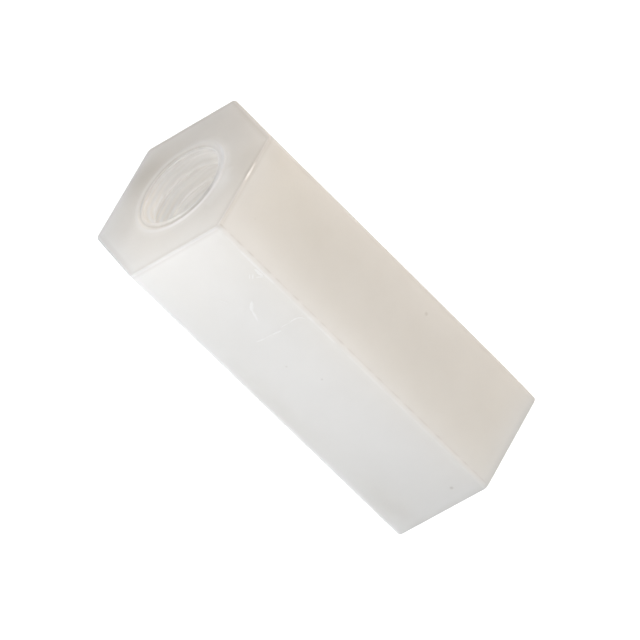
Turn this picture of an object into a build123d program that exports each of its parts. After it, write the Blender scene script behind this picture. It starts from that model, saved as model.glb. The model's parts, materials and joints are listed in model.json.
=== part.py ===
from build123d import *
import os

# Hex standoff in natural nylon: one hexagonal bar with a tapped hole right through it.
# Millimetres. It stands on its lower end, which is at Z = 0, with the hole along +Z.
# The corners of the hexagon point along +X and every 60 degrees from it, so two of the
# six spanner flats face +Y and -Y.

# Hexagonal bar
across_flats = 5.5
standoff_length = 12.0
corner_radius = 0.22
end_edge_break = 0.04

# Tapped hole, M3 x 0.5. The wall stands at the tapping drill's size, which is where the
# thread's crests are.
thread_major_diameter = 3.0
thread_pitch = 0.5
tapping_drill_diameter = thread_major_diameter - thread_pitch

# Countersunk mouths, a little wider than the thread so that a screw finds its start
mouth_clearance = 0.05
mouth_diameter = thread_major_diameter + 2 * mouth_clearance
countersink_angle = 90

# Hex standoff
with BuildPart() as hex_standoff:
    # The bar's section: a hexagon with its six corners rounded
    with BuildSketch() as hexagon:
        RegularPolygon(radius=across_flats / 2, side_count=6, major_radius=False)
        fillet(hexagon.vertices(), radius=corner_radius)
    extrude(amount=standoff_length)

    # A fine break takes the sharpness off the outer edges of both ends
    end_faces = hex_standoff.faces().filter_by(Axis.Z)
    chamfer(end_faces.edges(), length=end_edge_break)

    # The hole is drilled right through, and countersunk where it enters each end face
    end_faces = hex_standoff.faces().filter_by(Axis.Z)
    with Locations(*end_faces):
        CounterSinkHole(
            radius=tapping_drill_diameter / 2,
            counter_sink_radius=mouth_diameter / 2,
            depth=standoff_length,
            counter_sink_angle=countersink_angle,
        )

hex_standoff.part.label = "hex_standoff"

os.makedirs("parts", exist_ok=True)
export_step(hex_standoff.part, "parts/hex_standoff.step")
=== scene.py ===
"""Natural nylon hex standoff with its M3 thread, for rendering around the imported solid.

Metres, in the solid's own frame: it stands on its lower end at Z = 0, with its hole along +Z
and the corners of the hexagon at 0, 60, 120 ... degrees from +X. A face is named here by the
direction of its normal, in degrees, and a place on it by two measures: how far it is across
the face from its middle line, and how deep it is below the upper end.
"""

import json
import math
from types import SimpleNamespace

import bpy
import numpy as np
from mathutils import Matrix, Vector


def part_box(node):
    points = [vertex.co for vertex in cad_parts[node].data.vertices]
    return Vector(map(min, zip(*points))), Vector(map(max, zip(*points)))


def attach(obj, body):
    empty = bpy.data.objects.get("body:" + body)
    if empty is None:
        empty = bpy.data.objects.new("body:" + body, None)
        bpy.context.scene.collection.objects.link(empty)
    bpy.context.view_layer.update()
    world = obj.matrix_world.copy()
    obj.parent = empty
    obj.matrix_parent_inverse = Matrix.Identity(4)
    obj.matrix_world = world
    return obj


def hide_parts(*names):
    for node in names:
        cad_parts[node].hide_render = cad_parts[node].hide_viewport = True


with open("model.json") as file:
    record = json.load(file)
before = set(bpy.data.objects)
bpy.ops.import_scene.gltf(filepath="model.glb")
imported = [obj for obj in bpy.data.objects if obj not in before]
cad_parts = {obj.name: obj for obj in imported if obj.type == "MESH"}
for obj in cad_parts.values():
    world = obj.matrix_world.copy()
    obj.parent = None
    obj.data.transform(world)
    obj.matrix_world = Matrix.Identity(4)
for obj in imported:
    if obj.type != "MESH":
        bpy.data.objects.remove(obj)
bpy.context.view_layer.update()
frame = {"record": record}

MM = 0.001

# Sizes of the bar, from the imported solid
BOX_LOW, BOX_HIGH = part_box("hex_standoff")
LENGTH = BOX_HIGH.z - BOX_LOW.z
APOTHEM = (BOX_HIGH.y - BOX_LOW.y) / 2
COS_30 = math.cos(math.radians(30))
SHARP_RADIUS = APOTHEM / COS_30
CORNER_RADIUS = (SHARP_RADIUS - BOX_HIGH.x) / (1 / COS_30 - 1)
EDGE_BREAK = 0.04 * MM

# The edge break is rounded: how far in its middle row lies, as a share of its size, and how
# much further in that row lies at the nick
ROUNDING, NICK_ROUNDING = 0.3, 0.2

# Sizes of the hole, from its mount
HOLE = next(mount for mount in frame["record"]["mounts"] if mount["name"] == "threaded_hole")
CREST_RADIUS = HOLE["dims"]["r_mm"] * MM
COUNTERSINK_DEPTH = (LENGTH - HOLE["dims"]["length_mm"] * MM) / 2
MOUTH_RADIUS = CREST_RADIUS + COUNTERSINK_DEPTH
PITCH = 0.5 * MM
ROOT_RADIUS = CREST_RADIUS + PITCH / 2
FLANK_SLOPE = math.tan(math.radians(30))
ROOT_FLAT = 0.14 * MM
FIRST_CREST_DEPTH = 0.41 * MM
FIRST_CREST_ANGLE = math.radians(90)

# Fine rings that the tool left in the hole
TOOL_LINE_PITCH = 0.1 * MM
TOOL_LINE_HEIGHT = 0.003 * MM

# Each mouth has a low burr, raised by the tap. Its rows are given as shares of its inner width,
# below 0, and of its outer width.
BURR_HEIGHT = 0.025 * MM
BURR_RADIUS = 1.57 * MM
BURR_INNER_WIDTH, BURR_OUTER_WIDTH = 0.07 * MM, 0.12 * MM
BURR_ROWS = np.linspace(-0.7, 1, 7)

# Inside the burr are a fine gap, which runs a little off the mouth's middle, and a thin lip,
# which rises and reaches further in on one side. All these rings waver a little.
GAP_RADIUS = 1.44 * MM
GAP_HALF_WIDTH = 0.025 * MM
GAP_DEPTH = 0.045 * MM
GAP_SHALLOWING = 0.4
GAP_SHIFT, GAP_SHIFT_ANGLE = 0.055 * MM, math.radians(88)
GAP_EDGE_DEPTH = 0.9 * BURR_HEIGHT
LIP_RADIUS = 1.34 * MM
LIP_DEPTH = 0.025 * MM
LIP_RISE, LIP_REACH = 0.021 * MM, 0.05 * MM
LIP_EDGE_WIDTH, LIP_EDGE_DROP = 0.015 * MM, 0.02 * MM
RING_WAVER = 0.008 * MM
UPPER_WAVER_SEED, LOWER_WAVER_SEED = 11, 12
BORE_START = 0.12 * MM

# What changes around the hole's axis: the least, how much more it is on its strongest side,
# that side's direction in degrees, and a half width as a fall in the cosine of the angle
BURR_RISE = (0.35, 0.50, 270, 0.90)
LIP_RAISED = (0.0, 1.0, 202, 0.25)
RIGHT_SIDE = (0.0, 1.0, 300, 0.15)
# The ring on the burr is whiter from wear and has a painted highlight, strongest towards 250
# degrees, and the lip has a painted highlight, strongest towards 200 degrees
BURR_WHITE_AND_HIGHLIGHT = (0.30, 0.95, 250, 0.60)
LIP_HIGHLIGHT = (0.15, 1.15, 200, 0.40)
# The hole is painted lighter on this side, as painted light
BORE_LIT_SIDE = (0.10, 0.90, 132, 0.40)
# Where the end face's painted shade starts further out
UNSHADED_FLAT = (0.0, 1.0, 266, 0.08)

# What is uneven: its middle, how far it swings either way, and the seed and the turns of its
# curve
BURR_UNEVEN = (1.00, 0.15, 13, (7, 13, 19, 31))
WHITE_UNEVEN = (0.80, 0.20, 21, (3, 7, 11, 17))
BEADS = (0.80, 0.35, 23, (1, 2.3, 3.1, 4.3))
CREST_FLECKS = (0.75, 0.45, 24, (5, 11, 23))
RING_FLECKS = (0.80, 0.50, 25, (3, 7, 13))
STREAKS = (0.50, 0.50, 27, (1, 1.7, 2.9))
SHADE_BREAKS = (0.55, 0.80, 28, (1, 0.63, 1.41))
RING_DRIFT_SEED, STREAK_DRIFT_SEED = 22, 26

# How fast those that run along the axis go through their curves
BEADS_ALONG = 6 / MM
CREST_FLECKS_ALONG = 9 / MM
RING_FLECKS_ALONG = 5 / MM
STREAKS_ALONG = 31 / MM
SHADE_BREAKS_ALONG = 15.7 / MM

# The upper mouth was cut off the hole's axis by this much in x and y. The shift fades out
# down the hole, and over a band of the end face outside the burr.
MOUTH_SHIFT = (0.055 * MM, 0.123 * MM)
SHIFT_DEPTH = 1.0 * MM
SHIFT_RADIUS, SHIFT_BLEND = 1.95 * MM, 0.25 * MM

# The front edge, between the faces at 210 and 270 degrees, has a worn line with a painted
# highlight and beside it a darker line of painted shade, where its normal points these ways. A
# low burr runs along part of the worn line.
RIDGE_NORMAL, RIDGE_HALF_WIDTH = math.radians(226), math.radians(7)
SHADE_NORMAL, SHADE_HALF_WIDTH = math.radians(261), math.radians(6)
EDGE_BURR_FROM, EDGE_BURR_TO = 1.05 * MM, 2.15 * MM
EDGE_BURR_HEIGHT = 0.012 * MM
EDGE_BURR_HALF_WIDTH = math.radians(9)
EDGE_BLEND = 0.15 * MM

# How much brighter the worn line along that edge is painted between two depths, in millimetres,
# as a painted highlight
EDGE_WEAR_AND_HIGHLIGHT = [
    (0.0, 12.0, 0.30),
    (0.3, 1.0, -0.10),
    (1.2, 2.4, 0.80),
    (4.1, 5.1, 0.25),
    (5.3, 5.7, -0.15),
]

# The nick in the upper edge of one face, and the ripples in its bottom
NICK_FACE = 270
NICK_FROM, NICK_TO = 0.05 * MM, 0.68 * MM
NICK_DEPTH = 0.035 * MM
NICK_RIPPLE, NICK_RIPPLE_LENGTH = 0.2, 0.05 * MM

# The sliver that hangs over the nick
CHIP_FROM, CHIP_TO = 0.03 * MM, 0.74 * MM
CHIP_HALF_WIDTH = 0.028 * MM
CHIP_TAPER = 0.25
CHIP_INSET = 0.022 * MM
CHIP_DEPTH = 0.043 * MM
CHIP_LIFT = 0.001 * MM
CHIP_STEPS = 25
COS_45 = math.cos(math.radians(45))

# How finely the mesh is cut: steps around, then the spacing of the rows in the hole, whose
# fine part reaches as deep as the tool's rings do
ARC_STEPS = 8
FLAT_STEPS = 28
FINE_ROW = 0.0165 * MM
LOWER_ROW = 0.035 * MM
COARSE_ROW = 0.07 * MM
FINE_REACH = 1.6 * MM

# Rows of the end faces, as shares of the way from the burr out to the rim, and rows of the
# side faces, as two depths in millimetres and how many rows lie between them
END_FACE_ROWS = (0.12, 0.3, 0.5, 0.7, 0.82, 0.9, 0.95, 0.985)
FIRST_WALL_ROW = 0.11 * MM
WALL_ROWS = [(0.2, 0.9, 8), (0.9, 2.5, 28), (2.5, 6.0, 42)]
LAST_WALL_ROWS_FROM, LAST_WALL_ROWS = 6.0 * MM, 30


def column_layout():
    """Direction of the outline's normal, and the share along the flat, for each column."""
    normals, shares = [], []
    for corner in range(6):
        middle = 60 * corner
        for step in range(ARC_STEPS + 1):
            normals.append(math.radians(middle - 30 + 60 * step / ARC_STEPS))
            shares.append(0.0)
        for step in range(1, FLAT_STEPS):
            even = step / FLAT_STEPS
            eased = (1 - math.cos(math.pi * even)) / 2
            normals.append(math.radians(middle + 30))
            shares.append((even + eased) / 2)
    return np.array(normals), np.array(shares)


NORMALS, SHARES = column_layout()
CORNERS = np.repeat(np.arange(6), ARC_STEPS + FLAT_STEPS)
ON_CORNER = SHARES == 0


def outline(inset):
    """The rounded hexagon's points, column by column, moved inwards by inset."""
    radius = CORNER_RADIUS - inset
    centre_distance = (APOTHEM - CORNER_RADIUS) / COS_30
    flat_width = 2 * centre_distance * math.sin(math.radians(30))
    centre_angle = np.radians(60.0) * CORNERS
    along = NORMALS + math.pi / 2
    x = centre_distance * np.cos(centre_angle) + radius * np.cos(NORMALS)
    y = centre_distance * np.sin(centre_angle) + radius * np.sin(NORMALS)
    x += SHARES * flat_width * np.cos(along)
    y += SHARES * flat_width * np.sin(along)
    return np.stack([x, y], axis=-1)


OUTLINE = outline(0.0)
THETA = np.arctan2(OUTLINE[:, 1], OUTLINE[:, 0])


def bell(value, middle, half_width):
    """1 at the middle, falling smoothly to a third at half_width from it."""
    return np.exp(-(((value - middle) / half_width) ** 2))


def span(value, low, high, blend):
    """1 between low and high, falling to 0 over the blend outside them."""
    return np.clip((value - low) / blend + 1, 0, 1) * np.clip((high - value) / blend + 1, 0, 1)


def around(theta, least, more, degrees, half_width):
    """A strength that changes around the axis and is highest in that direction."""
    return least + more * bell(np.cos(theta - math.radians(degrees)), 1.0, half_width)


def wobble(value, seed, turns=(2, 3, 5, 9)):
    """A smooth uneven curve over an angle, between about -1 and 1."""
    draw = np.random.default_rng(seed)
    total = np.zeros_like(value)
    for count in turns:
        total += draw.uniform(0.3, 1.0) * np.sin(count * value + draw.uniform(0, 2 * math.pi))
    return total / (0.5 * len(turns) + 0.5)


def uneven(value, middle, swing, seed, turns):
    """A strength that wobbles around its middle."""
    return middle + swing * wobble(value, seed, turns)


def nick():
    """How deep the nick is at each column of the upper edge."""
    on_that_face = np.isclose(NORMALS, math.radians(NICK_FACE))
    x = OUTLINE[:, 0]
    middle = (NICK_FROM + NICK_TO) / 2
    hollow = np.clip(1 - ((x - middle) / ((NICK_TO - NICK_FROM) / 2)) ** 2, 0, 1)
    ripple = 1 - NICK_RIPPLE + NICK_RIPPLE * np.sin(x / NICK_RIPPLE_LENGTH)
    return np.where(on_that_face, NICK_DEPTH * np.sqrt(hollow) * ripple, 0.0)


NICK = nick()


def from_crest(theta, z):
    """Distance along the axis from the nearest crest of the right-hand thread."""
    helix = z - (LENGTH - FIRST_CREST_DEPTH) - PITCH * (theta - FIRST_CREST_ANGLE) / (2 * math.pi)
    return np.abs(np.mod(helix / PITCH + 0.5, 1.0) - 0.5) * PITCH


def bore_radius(theta, z):
    """Radius of the tapped wall: 60 degree thread, cut by both countersinks."""
    crest_half = PITCH / 2 - ROOT_FLAT / 2 - (ROOT_RADIUS - CREST_RADIUS) * FLANK_SLOPE
    rise = (from_crest(theta, z) - crest_half) / FLANK_SLOPE
    thread = CREST_RADIUS + np.clip(rise, 0.0, ROOT_RADIUS - CREST_RADIUS)
    cone = MOUTH_RADIUS - np.minimum(z, LENGTH - z)
    rings = TOOL_LINE_HEIGHT * np.sin(2 * math.pi * z / TOOL_LINE_PITCH)
    fine = LENGTH - z < FINE_REACH
    return np.maximum(thread, cone) + np.where(fine, rings, 0.0)


def bore_depths():
    """Depths of the rows down the hole, finest where the hole is seen."""
    return np.concatenate([
        np.arange(BORE_START, FINE_REACH, FINE_ROW),
        np.arange(FINE_REACH, LENGTH - FINE_REACH, COARSE_ROW),
        np.arange(LENGTH - FINE_REACH, LENGTH - BORE_START, LOWER_ROW),
    ])


def gap_radius(theta):
    """How far from the axis the gap is in each direction."""
    return GAP_RADIUS + GAP_SHIFT * np.cos(theta - GAP_SHIFT_ANGLE)


def mouth_profile():
    """Radius and depth of the lip, the gap and the burr, from inside the mouth outwards."""
    height = BURR_HEIGHT * around(THETA, *BURR_RISE) * uneven(THETA, *BURR_UNEVEN)
    raised = around(THETA, *LIP_RAISED)
    lip_depth = LIP_DEPTH - LIP_RISE * raised
    lip_radius = LIP_RADIUS - LIP_REACH * raised
    gap = gap_radius(THETA)
    gap_depth = GAP_DEPTH * (1 - GAP_SHALLOWING * around(THETA, *RIGHT_SIDE))
    points = [
        (lip_radius, lip_depth + LIP_EDGE_DROP),
        (lip_radius + LIP_EDGE_WIDTH, lip_depth),
        (gap - GAP_HALF_WIDTH, (2 * lip_depth + gap_depth) / 3),
        (gap, gap_depth),
        (gap + GAP_HALF_WIDTH, GAP_EDGE_DEPTH),
    ]
    for step in BURR_ROWS:
        rise = (1 + math.cos(math.pi * step)) / 2
        width = BURR_INNER_WIDTH if step < 0 else BURR_OUTER_WIDTH
        points.append((BURR_RADIUS + step * width, BURR_HEIGHT - rise * height))
    return points


def with_depth(points, depth, upper):
    """One row of the mesh: points of the plan at a depth below that end."""
    depth = np.broadcast_to(depth, THETA.shape)
    return np.column_stack([points, LENGTH - depth if upper else depth])


def end_rows(upper):
    """Rows of points from the mouth's lip out over an end face to its broken edge."""
    waver = wobble(THETA, UPPER_WAVER_SEED if upper else LOWER_WAVER_SEED)
    nick_depth = NICK if upper else np.zeros_like(NICK)
    edge_break = EDGE_BREAK + nick_depth
    rows = []
    for radius, depth in mouth_profile():
        r = radius + RING_WAVER * waver
        ring = np.stack([r * np.cos(THETA), r * np.sin(THETA)], axis=-1)
        rows.append(with_depth(ring, depth, upper))
    inner = rows[-1][:, :2]
    rim = outline(edge_break)
    for share in END_FACE_ROWS:
        rows.append(with_depth(inner + share * (rim - inner), BURR_HEIGHT, upper))
    rows.append(with_depth(rim, BURR_HEIGHT, upper))
    rounding = (ROUNDING + NICK_ROUNDING * nick_depth / NICK_DEPTH) * edge_break
    rows.append(with_depth(outline(rounding), BURR_HEIGHT + rounding, upper))
    return rows


def wall_rows():
    """Rows down the six outer faces, from the upper edge break to the lower one."""
    top = BURR_HEIGHT + EDGE_BREAK + NICK
    bottom = LENGTH - BURR_HEIGHT - EDGE_BREAK
    depths = [FIRST_WALL_ROW]
    for low, high, count in WALL_ROWS:
        depths.extend(np.linspace(low * MM, high * MM, count, endpoint=False))
    depths.extend(np.linspace(LAST_WALL_ROWS_FROM, bottom, LAST_WALL_ROWS))
    outward = np.stack([np.cos(NORMALS), np.sin(NORMALS)], axis=-1)
    on_ridge = bell(NORMALS, RIDGE_NORMAL, EDGE_BURR_HALF_WIDTH)
    rows = [with_depth(OUTLINE, top, True)]
    for depth in depths:
        height = EDGE_BURR_HEIGHT * span(depth, EDGE_BURR_FROM, EDGE_BURR_TO, EDGE_BLEND)
        burr = (height * on_ridge)[:, None] * outward
        rows.append(with_depth(OUTLINE + burr, depth, True))
    return rows


def across_hexagon(x, y):
    """How far out a point is, square to the nearest of the six faces."""
    directions = np.radians(30 + 60 * np.arange(6))
    return np.max([x * np.cos(angle) + y * np.sin(angle) for angle in directions], axis=0)


def bore_wall(points):
    """1 on the wall of the hole, 0 elsewhere."""
    radius = np.hypot(points[..., 0], points[..., 1])
    end_depth = np.minimum(points[..., 2], LENGTH - points[..., 2])
    return ((radius < MOUTH_RADIUS) & (end_depth > LIP_DEPTH)).astype(float)


def face_normal(degrees):
    """Outward direction of the side face whose normal points that way."""
    return Vector((math.cos(math.radians(degrees)), math.sin(math.radians(degrees)), 0))


# Clouds in the nylon of the sides, which also paint light and shade: faces are lighter or
# darker in places as the lights make them. The face, then across, depth and their half widths
# in millimetres, and how much whiter or clearer the nylon is there
SIDE_CLOUDS_AND_PAINTED_LIGHT = [
    (210, 0.10, 6.0, 1.00, 9.0, 0.25),
    (210, -1.45, 6.3, 0.40, 3.0, -0.60),
    (210, 0.30, 3.1, 0.50, 1.2, 0.10),
    (210, 0.50, 9.4, 1.00, 1.4, 0.14),
    (210, -1.35, 11.0, 0.60, 1.3, -0.55),
    (270, -1.35, 0.9, 0.60, 1.5, 0.50),
    (270, -1.40, 4.0, 0.50, 3.5, 0.26),
    (270, 0.50, 2.4, 1.10, 2.2, -0.12),
    (270, 1.40, 0.6, 0.55, 0.9, -0.42),
    (270, 1.30, 7.8, 0.50, 2.5, 0.15),
    (270, 0.20, 11.2, 0.80, 0.7, -0.12),
    (30, 0.20, 5.0, 0.90, 6.0, 0.20),
    (90, -0.30, 7.5, 0.90, 4.0, 0.20),
    (150, 0.30, 4.0, 0.90, 6.0, 0.20),
    (330, 0.00, 6.5, 0.90, 7.0, 0.20),
]

# Clouds in the nylon of the ends, which also paint shade and light where the lights make the
# end faces darker or lighter: x, y and half width in millimetres, and the same measure
END_CLOUDS_AND_PAINTED_LIGHT = [
    (0.55, 2.50, 0.92, -1.15),
    (0.10, -1.80, 0.35, 0.50),
    (0.80, -2.40, 0.80, -0.42),
    (-1.30, -1.35, 0.50, 0.15),
    (1.70, 0.40, 0.40, 0.15),
]
CLOUD_BASE = 0.20

# How far inside a face its own clouds and wear still reach
FACE_BLEND = 0.1 * MM


def clouds_and_painted_light(points):
    """How cloudy the nylon is at each point of the outside, with painted light and shade, apart
    from other marks.
    """
    x, y, z = points[..., 0], points[..., 1], points[..., 2]
    depth = LENGTH - z
    total = np.full(x.shape, CLOUD_BASE)
    for degrees, across, down, half_across, half_down, strength in SIDE_CLOUDS_AND_PAINTED_LIGHT:
        normal = face_normal(degrees)
        height = x * normal.x + y * normal.y
        beside = y * normal.x - x * normal.y
        cloud = bell(beside, across * MM, half_across * MM) * bell(depth, down * MM, half_down * MM)
        total += strength * cloud * np.clip((height - APOTHEM) / FACE_BLEND + 1, 0, 1)
    on_end = np.minimum(z, depth) < BURR_HEIGHT + EDGE_BREAK
    for middle_x, middle_y, half_width, strength in END_CLOUDS_AND_PAINTED_LIGHT:
        away = np.hypot(x - middle_x * MM, y - middle_y * MM)
        total += strength * bell(away, 0.0, half_width * MM) * on_end
    return total * (np.hypot(x, y) > MOUTH_RADIUS)


def measured(points):
    """Where the skin's points are, in the measures that its wear depends on."""
    x, y, z = points[..., 0], points[..., 1], points[..., 2]
    return SimpleNamespace(
        z=z,
        depth=LENGTH - z,
        end_depth=np.minimum(z, LENGTH - z),
        radius=np.hypot(x, y),
        reach=across_hexagon(x, y),
        theta=np.broadcast_to(THETA, x.shape),
        normals=np.broadcast_to(NORMALS, x.shape),
        in_bore=bore_wall(points),
    )


# Marks and painted light of the mouths: the white ring on the burr, white from wear and with a
# painted highlight, which on the right side is brighter, wider and nearer to the axis, the lip's
# painted highlight, painted shade in the gap, and the end face, which has painted shade outside
# a radius that is larger on one side and again along its rim
WHITE_RING_RADIUS, WHITE_RING_HALF_WIDTH = 1.60 * MM, 0.055 * MM
RIGHT_RING_BRIGHTER, RIGHT_RING_NEARER, RIGHT_RING_WIDER = 0.7, 0.06 * MM, 0.04 * MM
LIP_HIGHLIGHT_HALF_WIDTH = 0.07 * MM
# The gap, the end face and its rim are darkened with painted shade
GAP_SHADE, RIGHT_GAP_LIGHTER = 0.45, 0.8
SHADED_FLAT_RADIUS, UNSHADED_FLAT_REACH, SHADED_FLAT_BLEND = 1.66 * MM, 0.3 * MM, 0.06 * MM
SHADED_FLAT = 0.12
SHADED_RIM, SHADED_RIM_INSET, SHADED_RIM_HALF_WIDTH = 0.20, 0.07 * MM, 0.05 * MM


def mouth_marks_and_painted_light(at):
    """How much whiter and darker the mouths' rings and the end faces are: wear, painted highlights
    and painted shade.
    """
    patchy = uneven(at.theta, *WHITE_UNEVEN)
    right_side = around(at.theta, *RIGHT_SIDE)
    brightness = around(at.theta, *BURR_WHITE_AND_HIGHLIGHT) + RIGHT_RING_BRIGHTER * right_side
    ring_radius = WHITE_RING_RADIUS - RIGHT_RING_NEARER * right_side
    ring_half_width = WHITE_RING_HALF_WIDTH + RIGHT_RING_WIDER * right_side
    white = brightness * bell(at.radius, ring_radius, ring_half_width)
    white += around(at.theta, *LIP_HIGHLIGHT) * bell(at.radius, LIP_RADIUS, LIP_HIGHLIGHT_HALF_WIDTH)

    gap_shade = GAP_SHADE * patchy * (1 - RIGHT_GAP_LIGHTER * right_side)
    painted_shade = gap_shade * bell(at.radius, gap_radius(at.theta), GAP_HALF_WIDTH)
    flat_from = SHADED_FLAT_RADIUS + UNSHADED_FLAT_REACH * around(at.theta, *UNSHADED_FLAT)
    painted_shade += SHADED_FLAT * np.clip((at.radius - flat_from) / SHADED_FLAT_BLEND, 0, 1)
    rim = APOTHEM - EDGE_BREAK - SHADED_RIM_INSET
    painted_shade += SHADED_RIM * bell(at.reach, rim, SHADED_RIM_HALF_WIDTH)
    on_end = at.end_depth < BORE_START
    return white * patchy * on_end, painted_shade * on_end


# Painted light of the hole: its wall is painted a little white all over, for the light that
# comes through the nylon, more so on the thread's crests, as painted highlights, and on the
# tool's rings, and it has darker streaks of painted shade
BORE_WHITE_BASE, CREST_HIGHLIGHT, TOOL_RING_WHITE = 0.38, 1.1, 0.75
CREST_HALF_WIDTH, CREST_HEIGHT = 0.035 * MM, 0.03 * MM
RING_DRIFT = 2.0
STREAK_SHADE = 0.14


def bore_painted_light(at):
    """How much painted light, painted highlight and painted shade the hole's wall has."""
    crest = bell(from_crest(at.theta, at.z), 0.0, CREST_HALF_WIDTH)
    crest = crest * (at.radius < CREST_RADIUS + CREST_HEIGHT)
    crest = crest * uneven(at.theta + CREST_FLECKS_ALONG * at.z, *CREST_FLECKS)
    drift = RING_DRIFT * wobble(at.theta, RING_DRIFT_SEED)
    rings = (1 + np.sin(2 * math.pi * at.z / TOOL_LINE_PITCH + drift)) / 2
    rings = rings * uneven(at.theta + RING_FLECKS_ALONG * at.z, *RING_FLECKS)
    drift = wobble(at.theta, STREAK_DRIFT_SEED)
    streaks = uneven(STREAKS_ALONG * at.z + drift, *STREAKS)
    white = BORE_WHITE_BASE + CREST_HIGHLIGHT * crest + TOOL_RING_WHITE * rings
    white = at.in_bore * white * around(at.theta, *BORE_LIT_SIDE)
    return white, STREAK_SHADE * at.in_bore * streaks


# Wear and painted light of the side faces: the line of painted shade beside the front edge, on
# the side that faces about 265 degrees, with a trace of painted shade all over that side, then
# the edges at these normals, darkened with painted shade, then the painted shade under the nick
SHADE_SIDE, SHADE_SIDE_COSINE = math.radians(265), 0.9
SHADE_LINE_STRENGTH, SHADE_SIDE_STRENGTH = 0.24, 0.02
SHADED_EDGE_NORMALS = (math.radians(315), math.radians(165))
SHADED_EDGE, SHADED_EDGE_HALF_WIDTH = 0.12, math.radians(18)
NICK_SHADE, NICK_SHADE_DEPTH, NICK_SHADE_INSET = 0.10, 0.16 * MM, 0.15 * MM


def wall_wear_and_painted_light(at):
    """How much whiter and darker the side faces are painted, most of it along their edges: the
    front edge's painted highlight and painted shade.
    """
    below_break = at.end_depth > BURR_HEIGHT + 0.5 * EDGE_BREAK
    on_wall = (at.radius > APOTHEM - FACE_BLEND) & below_break
    beads = uneven(BEADS_ALONG * at.depth, *BEADS)
    worn_and_lit = 0.0
    for low, high, rise in EDGE_WEAR_AND_HIGHLIGHT:
        worn_and_lit += rise * span(at.depth, low * MM, high * MM, EDGE_BLEND)
    ridge = bell(at.normals, RIDGE_NORMAL, RIDGE_HALF_WIDTH) * ON_CORNER
    white = on_wall * ridge * worn_and_lit * beads

    broken = np.clip(uneven(SHADE_BREAKS_ALONG * at.depth, *SHADE_BREAKS), 0, 1)
    shade = bell(at.normals, SHADE_NORMAL, SHADE_HALF_WIDTH) * ON_CORNER
    on_shade_side = np.cos(at.normals - SHADE_SIDE) > SHADE_SIDE_COSINE
    painted_shade = (SHADE_SIDE_STRENGTH + SHADE_LINE_STRENGTH * broken * shade) * on_wall * on_shade_side
    # The edges at these normals get painted shade
    for normal in SHADED_EDGE_NORMALS:
        painted_shade += SHADED_EDGE * on_wall * bell(at.normals, normal, SHADED_EDGE_HALF_WIDTH)
    # Painted shade on the wall under the nick
    under_nick = (at.depth < NICK_SHADE_DEPTH) & (at.radius > APOTHEM - NICK_SHADE_INSET)
    painted_shade += NICK_SHADE * (NICK / NICK_DEPTH) * under_nick
    return white, painted_shade


# Painted light of the upper edge break, which follows the nick down: a painted highlight on the
# near side, which faces 240 degrees, and painted shade on the far side
BREAK_HIGHLIGHT, BREAK_SHADE = 0.4, 0.12
BREAK_MARGIN = 1.1
NEAR_SIDE, NEAR_BASE, NEAR_GAIN = math.radians(240), 2, 3


def break_painted_light(at):
    """How much painted highlight and painted shade the upper edge break has."""
    size = BREAK_MARGIN * EDGE_BREAK + NICK
    on_break = (at.reach > APOTHEM - size) & (at.depth < BURR_HEIGHT + size)
    near = np.clip(NEAR_BASE + NEAR_GAIN * np.cos(at.normals - NEAR_SIDE), 0, 1)
    return BREAK_HIGHLIGHT * on_break * near, BREAK_SHADE * on_break * (1 - near)


# How much painted shade the nylon gets where its clouds make it clearer
CLEAR_SHADE = 0.4


def wear_and_painted_light(points):
    """How much whiter and how much darker the nylon is at each point, each from 0 to 1: wear,
    clouds, painted highlights, painted light and painted shade.
    """
    at = measured(points)
    clouds_and_light = clouds_and_painted_light(points)
    white = np.maximum(clouds_and_light, 0)
    painted_shade = CLEAR_SHADE * np.maximum(-clouds_and_light, 0)
    for marking in (mouth_marks_and_painted_light, bore_painted_light, wall_wear_and_painted_light, break_painted_light):
        more_white, more_painted_shade = marking(at)
        white += more_white
        painted_shade += more_painted_shade
    return np.clip(white, 0, 1), np.clip(painted_shade, 0, 1)


def shift_mouth(points):
    """The points with the upper mouth moved off the axis."""
    radius = np.hypot(points[..., 0], points[..., 1])
    share = np.clip((SHIFT_RADIUS - radius) / SHIFT_BLEND, 0, 1)
    share = share * np.clip(1 - (LENGTH - points[..., 2]) / SHIFT_DEPTH, 0, 1)
    moved = points.copy()
    moved[..., 0] += share * MOUTH_SHIFT[0]
    moved[..., 1] += share * MOUTH_SHIFT[1]
    return moved


def new_mesh(name, vertices, faces):
    """A smoothly shaded mesh of these points and faces."""
    mesh = bpy.data.meshes.new(name)
    mesh.from_pydata(vertices, [], faces)
    mesh.shade_smooth()
    mesh.update()
    return mesh


def standoff_mesh():
    """The whole skin as one closed grid: down the outside, in, up the hole and out again."""
    rows = wall_rows()
    rows += end_rows(upper=False)[::-1]
    for depth in bore_depths()[::-1]:
        radius = bore_radius(THETA, LENGTH - depth)
        ring = np.stack([radius * np.cos(THETA), radius * np.sin(THETA)], axis=-1)
        rows.append(with_depth(ring, depth, True))
    rows += end_rows(upper=True)
    points = np.stack(rows)
    # The whiter and darker values hold wear as well as painted highlights, painted light and
    # painted shade
    white, painted_shade = wear_and_painted_light(points)
    cut = bore_wall(points)
    points = shift_mouth(points)

    count, columns = points.shape[:2]
    first = np.arange(count * columns).reshape(count, columns)
    below = np.roll(first, -1, axis=0)
    beside = np.roll(first, -1, axis=1)
    below_beside = np.roll(below, -1, axis=1)
    faces = np.stack([first, below, below_beside, beside], axis=-1)
    mesh = new_mesh("nylon_standoff", points.reshape(-1, 3).tolist(), faces.reshape(-1, 4).tolist())
    for name, values in (("whitened_and_lit", white), ("painted_shade", painted_shade), ("cut", cut)):
        layer = mesh.attributes.new(name, "FLOAT", "POINT")
        layer.data.foreach_set("value", values.ravel().astype(np.float32))
    return mesh


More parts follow.
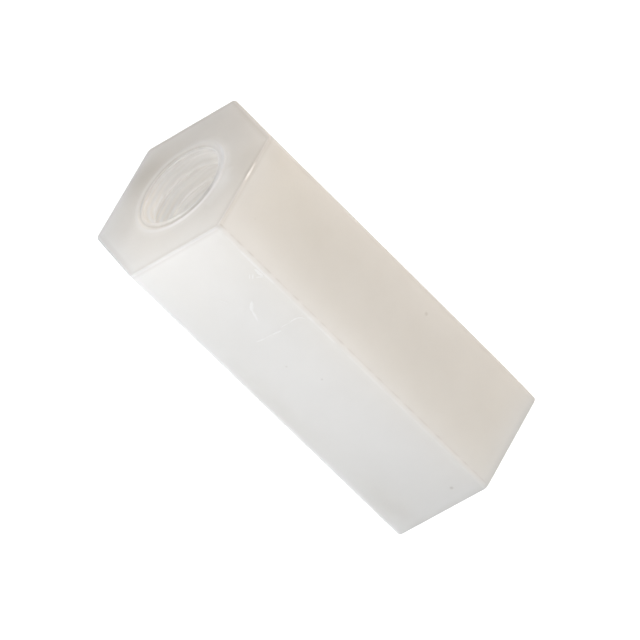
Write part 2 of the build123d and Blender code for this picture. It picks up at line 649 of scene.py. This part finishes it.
def on_face(degrees, across, depth, proud=0.0):
    """A point on a side face, in metres, from its two measures in millimetres."""
    normal = face_normal(degrees)
    tangent = Vector((-normal.y, normal.x, 0))
    point = normal * (APOTHEM + proud) + tangent * across * MM
    point.z = LENGTH - depth * MM
    return point


def chip_mesh():
    """A sliver of nylon, white where it tore, that hangs over the nick: a thin lens along the edge.
    """
    vertices, faces = [], []
    for index, share in enumerate(np.linspace(0, 1, CHIP_STEPS)):
        across = CHIP_FROM + share * (CHIP_TO - CHIP_FROM)
        half = CHIP_HALF_WIDTH * math.sqrt(max(math.sin(math.pi * share), 0.0))
        half *= 1 + CHIP_TAPER * math.cos(math.pi * share)
        for offset in (-1, 0, 1):
            lift = CHIP_LIFT * (1 - abs(offset))
            out = APOTHEM - CHIP_INSET + (offset * half + lift) * COS_45
            height = LENGTH - CHIP_DEPTH - (offset * half - lift) * COS_45
            vertices.append((across, -out, height))
        if index:
            first = 3 * index
            faces.append((first - 3, first, first + 1, first - 2))
            faces.append((first - 2, first + 1, first + 2, first - 1))
    return new_mesh("chip", vertices, faces)


# Scratches on one face: half the width and the height of the raised edge, then
# the points that each runs through, as across and depth, all in millimetres
SCRATCHES = [
    (0.060, 0.010, [(0.61, 2.67), (0.52, 2.78), (0.42, 2.89), (0.38, 2.98)]),
    (0.045, 0.010, [(0.40, 2.95), (0.38, 3.03), (0.34, 3.18), (0.27, 3.35)]),
    (0.024, 0.010, [(1.40, 4.03), (1.34, 3.94), (1.24, 3.89), (1.08, 3.88), (0.93, 3.90)]),
    (0.015, 0.010, [(0.93, 3.90), (0.77, 3.89), (0.67, 3.90)]),
    (0.036, 0.010, [(0.60, 3.99), (0.48, 3.98), (0.32, 3.96)]),
    (0.012, 0.010, [(0.32, 3.96), (0.18, 3.95), (0.04, 3.95)]),
    (0.030, 0.010, [(0.04, 3.95), (-0.09, 3.94), (-0.25, 3.91)]),
    (0.022, 0.010, [(1.27, 1.93), (1.21, 1.99), (1.15, 2.06)]),
    (0.015, 0.010, [(1.19, 1.86), (1.13, 1.94), (1.08, 2.00)]),
    (0.026, 0.010, [(1.26, 2.07), (1.36, 2.12), (1.45, 2.17)]),
    (0.060, 0.012, [(1.41, 1.93), (1.43, 2.04), (1.45, 2.13)]),
    (0.045, 0.012, [(1.42, 1.80), (1.43, 1.91), (1.45, 2.01)]),
    (0.014, 0.010, [(-0.12, 2.13), (-0.05, 2.23), (0.00, 2.35)]),
]

# The strips' sides lie a little inside the face, so that no rim shows. Their width tapers to
# the root of this share at both ends, and wavers on the way.
SCRATCH_FACE = 210
SCRATCH_FOOT = -0.002 * MM
SCRATCH_END = 0.15
SCRATCH_WAVER, SCRATCH_WAVES, SCRATCH_SEED = 0.3, 9, 40


def smooth_path(points, steps=8):
    """Points along a smooth curve, a Catmull-Rom spline, through the given ones."""
    given = np.array(points)
    padded = np.vstack([2 * given[0] - given[1], given, 2 * given[-1] - given[-2]])
    path = []
    for index in range(len(given) - 1):
        a, b, c, d = padded[index:index + 4]
        for step in range(steps):
            t = step / steps
            path.append(0.5 * (2 * b + (c - a) * t + (2 * a - 5 * b + 4 * c - d) * t ** 2
                               + (3 * b - a - 3 * c + d) * t ** 3))
    path.append(given[-1])
    return np.array(path)


def scratch_mesh():
    """The scratches' raised edges: low strips, thin at both ends, along smooth paths."""
    vertices, faces = [], []
    for number, (half_width, height, points) in enumerate(SCRATCHES):
        path = smooth_path(points)
        along = np.gradient(path, axis=0)
        along /= np.linalg.norm(along, axis=1)[:, None]
        beside = np.stack([-along[:, 1], along[:, 0]], axis=-1)
        share = np.linspace(0, 1, len(path))
        width = half_width * np.sqrt(np.clip(np.sin(math.pi * share), SCRATCH_END, 1))
        width *= 1 + SCRATCH_WAVER * wobble(share * SCRATCH_WAVES, SCRATCH_SEED + number)
        for index, (place, side, half) in enumerate(zip(path, beside, width)):
            first = len(vertices)
            for offset, proud in ((-1, SCRATCH_FOOT), (0, height * MM), (1, SCRATCH_FOOT)):
                across, depth = place + offset * half * side
                vertices.append(on_face(SCRATCH_FACE, across, depth, proud))
            if index:
                faces.append((first - 3, first - 2, first + 1, first))
                faces.append((first - 2, first - 1, first + 2, first + 1))
    return new_mesh("scratches", vertices, faces)


def feed(node, inputs):
    """Set a node's inputs, or link them where the value is another node's output."""
    for name, value in inputs.items():
        if isinstance(value, bpy.types.NodeSocket):
            node.id_data.links.new(value, node.inputs[name])
        else:
            node.inputs[name].default_value = value


def new_material(name):
    """A material, its shader and a function that adds further nodes to it."""
    material = bpy.data.materials.new(name)
    material.use_nodes = True
    tree = material.node_tree

    def add_node(kind, inputs=None, **settings):
        made = tree.nodes.new(kind)
        for key, value in settings.items():
            setattr(made, key, value)
        feed(made, inputs or {})
        return made

    return material, tree.nodes["Principled BSDF"], add_node


def mix_colour(node, share, first, second):
    """A colour that goes from the first to the second."""
    return node("ShaderNodeMix", {0: share, 6: first, 7: second}, data_type="RGBA").outputs[2]


def spread(node, share, low, high):
    """A value that goes from low to high."""
    inputs = {"Value": share, "To Min": low, "To Max": high}
    return node("ShaderNodeMapRange", inputs).outputs["Result"]


def noise(node, scale, detail):
    """Fine unevenness in the object's own space."""
    place = node("ShaderNodeTexCoord").outputs["Object"]
    inputs = {"Vector": place, "Scale": scale, "Detail": detail}
    return node("ShaderNodeTexNoise", inputs).outputs["Fac"]


# Dark specks: the face, across, depth and radius in millimetres, and how dark each is
SPECKS = [
    (210, 0.78, 11.37, 0.062, 0.28),
    (210, 0.37, 6.06, 0.040, 0.18),
    (210, -0.14, 5.11, 0.036, 0.16),
    (270, 1.05, 7.33, 0.064, 0.22),
    (270, -0.61, 0.93, 0.040, 0.08),
]
SPECK_CORE, SPECK_RIM = 0.3, 1.3

NYLON_DARK = (0.81, 0.79, 0.75, 1)
NYLON_LIGHT = (0.85, 0.83, 0.79, 1)
# The hole's nylon is painted lighter than the outside's, as painted light for the glow through its
# walls
BORE_BASE_PAINTED_LIGHT = (0.92, 0.89, 0.835, 1)
# Whiter nylon, for wear and for painted highlights
NYLON_WHITENED_AND_LIT = (0.98, 0.975, 0.96, 1)
# The cooler white of the painted light in the hole
BORE_PAINTED_LIGHT = (0.90, 0.93, 0.96, 1)
SCUFF_DARK = (0.92, 0.91, 0.89, 1)
SCUFF_LIGHT = (0.98, 0.975, 0.955, 1)
# Grime for the specks, and the colour of the painted shade
GRIME_AND_SHADE = (0.37, 0.33, 0.27, 1)
PAPER = (0.93, 0.93, 0.93, 1)

# Noise, as scale and detail: the clouding within the nylon, which runs from the dark to the
# light nylon between its two ends, then the nylon's fine grain and the floor's
CLOUDING = (600.0, 5.0)
CLOUDING_ENDS = (0.3, 0.7)
GRAIN = (9000.0, 3.0)
PAPER_GRAIN = (400.0, 2.0)
PAPER_ROUGHNESS = (0.85, 0.95)

# The nylon's shader: how it refracts, how rough it is, and how much light goes in, from clear
# to the whiter places, and how far it goes, from the outside to the hole
NYLON_IOR = 1.53
NYLON_ROUGHNESS = (0.38, 0.55)
NYLON_BUMP = {"Strength": 0.25, "Distance": 0.01 * MM}
LIGHT_GOING_IN = (0.93, 0.15)
LIGHT_REACH = (3.0 * MM, 12.0 * MM)


def nylon_material():
    """Milky natural nylon: light goes some way in, so that thin places glow."""
    material, shader, node = new_material("milky_nylon")
    ramp = node("ShaderNodeValToRGB", {"Fac": noise(node, *CLOUDING)})
    darkest, lightest = ramp.color_ramp.elements
    darkest.position, lightest.position = CLOUDING_ENDS
    darkest.color, lightest.color = NYLON_DARK, NYLON_LIGHT
    # The whiter and darker attributes carry wear as well as painted highlights, painted light and
    # painted shade
    whitened_and_lit = node("ShaderNodeAttribute", attribute_name="whitened_and_lit").outputs["Fac"]
    painted_shade = node("ShaderNodeAttribute", attribute_name="painted_shade").outputs["Fac"]
    cut = node("ShaderNodeAttribute", attribute_name="cut").outputs["Fac"]
    colour = mix_colour(node, cut, ramp.outputs["Color"], BORE_BASE_PAINTED_LIGHT)
    worn_and_lit = mix_colour(node, cut, NYLON_WHITENED_AND_LIT, BORE_PAINTED_LIGHT)
    colour = mix_colour(node, whitened_and_lit, colour, worn_and_lit)
    colour = mix_colour(node, painted_shade, colour, GRIME_AND_SHADE)
    place = node("ShaderNodeTexCoord").outputs["Object"]
    for degrees, across, depth, radius, dark in SPECKS:
        spot = tuple(on_face(degrees, across, depth))
        away = node("ShaderNodeVectorMath", {0: place, 1: spot}, operation="DISTANCE")
        fade = node("ShaderNodeMapRange", {
            "Value": away.outputs["Value"],
            "From Min": SPECK_CORE * radius * MM,
            "From Max": SPECK_RIM * radius * MM,
            "To Min": dark,
            "To Max": 0.0,
        }, interpolation_type="SMOOTHSTEP")
        colour = mix_colour(node, fade.outputs["Result"], colour, GRIME_AND_SHADE)
    grain = noise(node, *GRAIN)
    feed(shader, {
        "Base Color": colour,
        "Roughness": spread(node, grain, *NYLON_ROUGHNESS),
        "Normal": node("ShaderNodeBump", {"Height": grain, **NYLON_BUMP}).outputs["Normal"],
        "Subsurface Radius": (1.0, 1.0, 1.0),
        "Subsurface Scale": spread(node, cut, *LIGHT_REACH),
        "Subsurface Weight": spread(node, whitened_and_lit, *LIGHT_GOING_IN),
        "IOR": NYLON_IOR,
    })
    return material


def scuffed_material(name, smoothest, roughest):
    """Scuffed nylon: whiter than the rest, and as rough as stated."""
    material, shader, node = new_material(name)
    grain = noise(node, *GRAIN)
    feed(shader, {
        "Base Color": mix_colour(node, grain, SCUFF_DARK, SCUFF_LIGHT),
        "Roughness": spread(node, grain, smoothest, roughest),
        "IOR": NYLON_IOR,
    })
    return material


def floor_material():
    """Plain pale paper, which glows so that it looks white."""
    material, shader, node = new_material("pale_floor")
    feed(shader, {
        "Base Color": PAPER,
        "Roughness": spread(node, noise(node, *PAPER_GRAIN), *PAPER_ROUGHNESS),
        "Specular IOR Level": 0.1,
        "Emission Color": (1, 1, 1, 1),
        "Emission Strength": 1.0,
    })
    return material


def add_piece(name, mesh, material):
    """A piece of the standoff, riding on its one body."""
    piece = bpy.data.objects.new(name, mesh)
    bpy.context.collection.objects.link(piece)
    mesh.materials.append(material)
    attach(piece, "root")
    return piece


def add_floor():
    """A wide plain floor under the standoff, which throws no light back at it."""
    half = 600 * MM
    corners = [(-half, -half, 0), (half, -half, 0), (half, half, 0), (-half, half, 0)]
    mesh = new_mesh("floor", corners, [(0, 1, 2, 3)])
    floor = bpy.data.objects.new("floor", mesh)
    bpy.context.collection.objects.link(floor)
    mesh.materials.append(floor_material())
    floor.visible_diffuse = False
    floor.visible_glossy = False
    floor.visible_shadow = False


# Each soft light: its direction from what it lights, as azimuth and elevation in degrees, its
# distance, its size and the height it aims at in millimetres, its power in watts, its colour
SOFT_LIGHTS = [
    ("left", 150, 20, 120, 90, 6, 0.074, (0.86, 0.91, 1)),
    ("front_low", 240, -25, 120, 90, 6, 0.043, (0.91, 0.96, 1)),
    ("right_low", 270, -25, 120, 90, 6, 0.0075, (1, 0.98, 0.83)),
    ("right", 270, 20, 120, 90, 6, 0.02, (1, 0.69, 0.39)),
    ("far_right", 330, 20, 120, 90, 6, 0.103, (1, 0.92, 0.84)),
    ("back_right", 30, -25, 120, 90, 6, 0.027, (1, 1, 1)),
    ("back", 90, -25, 120, 90, 6, 0.036, (1, 1, 1)),
    ("back_left", 120, -25, 120, 90, 6, 0.046, (1, 1, 1)),
    ("back_high", 60, 55, 120, 90, 6, 0.029, (1, 1, 1)),
    ("under", 0, -89, 120, 90, 6, 0.043, (1, 1, 1)),
    ("up_the_hole", 0, -89, 2, 1.6, 12, 1.6e-05, (1, 0.955, 0.89)),
    ("near_end_front", 200, 60, 5, 2.5, 12, 4.9e-05, (1, 1, 1)),
    ("near_end_left", 170, 60, 5, 2.5, 12, 2.4e-05, (0.92, 0.96, 1)),
    ("near_left_edge", 200, 25, 7, 3, 12, 6.5e-05, (1, 1, 1)),
    ("near_nick", 303.8, 43.1, 13.6, 1.1, 12, 5e-05, (1, 0.98, 0.94)),
    ("near_front_edge", 255, 0, 14, 8, 6, 0.00022, (1, 1, 1)),
    ("near_front_face", 205, 0, 14, 8, 7, 0.00052, (1, 1, 1)),
]


def add_softbox(name, azimuth, elevation, distance, size, aim_height, power, colour):
    """A square soft light in that direction from the hole's axis, facing it at that height."""
    light = bpy.data.lights.new(name, "AREA")
    light.shape = "SQUARE"
    light.size = size * MM
    light.energy = power
    light.color = colour
    lamp = bpy.data.objects.new(name, light)
    bpy.context.collection.objects.link(lamp)
    slope = math.radians(elevation)
    direction = face_normal(azimuth) * math.cos(slope) + Vector((0, 0, math.sin(slope)))
    aim = Vector((0, 0, aim_height * MM))
    lamp.location = aim + direction * distance * MM
    lamp.rotation_mode = "QUATERNION"
    lamp.rotation_quaternion = (-direction).to_track_quat("-Z", "Y")
    lamp.visible_camera = False


def add_lights():
    """White surroundings, which only the camera sees, and the soft lights."""
    world = bpy.data.worlds.new("white_surroundings")
    bpy.context.scene.world = world
    world.use_nodes = True
    feed(world.node_tree.nodes["Background"], {"Color": (1, 1, 1, 1), "Strength": 1.0})
    world.cycles_visibility.diffuse = False
    world.cycles_visibility.glossy = False
    world.cycles_visibility.transmission = False
    world.cycles_visibility.scatter = False
    for light in SOFT_LIGHTS:
        add_softbox(*light)


# The camera, as the photograph's edges place it
VIEW_AZIMUTH = math.radians(-28.514)
VIEW_ELEVATION = math.radians(28.515)
VIEW_ROLL = math.radians(-45.712)
VIEW_DISTANCE = 213.35 * MM
LENS_MM = 425.4
AIM_HEIGHT = LENGTH / 2
AIM_RIGHT = 0.0662 * MM
AIM_DOWN = 0.0252 * MM
NEAREST_SEEN, FARTHEST_SEEN = 0.01, 2.0


def add_camera():
    """A long lens on the photograph's line of sight, rolled so that the bar lies aslant."""
    level = math.cos(VIEW_ELEVATION)
    back = Vector((
        math.sin(VIEW_AZIMUTH) * level,
        -math.cos(VIEW_AZIMUTH) * level,
        math.sin(VIEW_ELEVATION),
    ))
    level_right = Vector((math.cos(VIEW_AZIMUTH), math.sin(VIEW_AZIMUTH), 0))
    level_up = back.cross(level_right)
    right = math.cos(VIEW_ROLL) * level_right + math.sin(VIEW_ROLL) * level_up
    up = back.cross(right)
    data = bpy.data.cameras.new("camera")
    data.lens = LENS_MM
    data.clip_start = NEAREST_SEEN
    data.clip_end = FARTHEST_SEEN
    camera = bpy.data.objects.new("camera", data)
    bpy.context.collection.objects.link(camera)
    aim = Vector((0, 0, AIM_HEIGHT)) + AIM_RIGHT * right - AIM_DOWN * up
    turn = Matrix((right, up, back)).transposed()
    camera.matrix_world = Matrix.Translation(aim + VIEW_DISTANCE * back) @ turn.to_4x4()
    bpy.context.scene.camera = camera


standoff = add_piece("nylon_standoff", standoff_mesh(), nylon_material())
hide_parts("hex_standoff")
add_piece("scratches", scratch_mesh(), scuffed_material("scuffed_nylon", 0.55, 0.75))
add_piece("chip", chip_mesh(), scuffed_material("torn_nylon", 0.10, 0.15))
add_floor()
add_lights()
add_camera()
bpy.context.scene.view_settings.view_transform = "Standard"
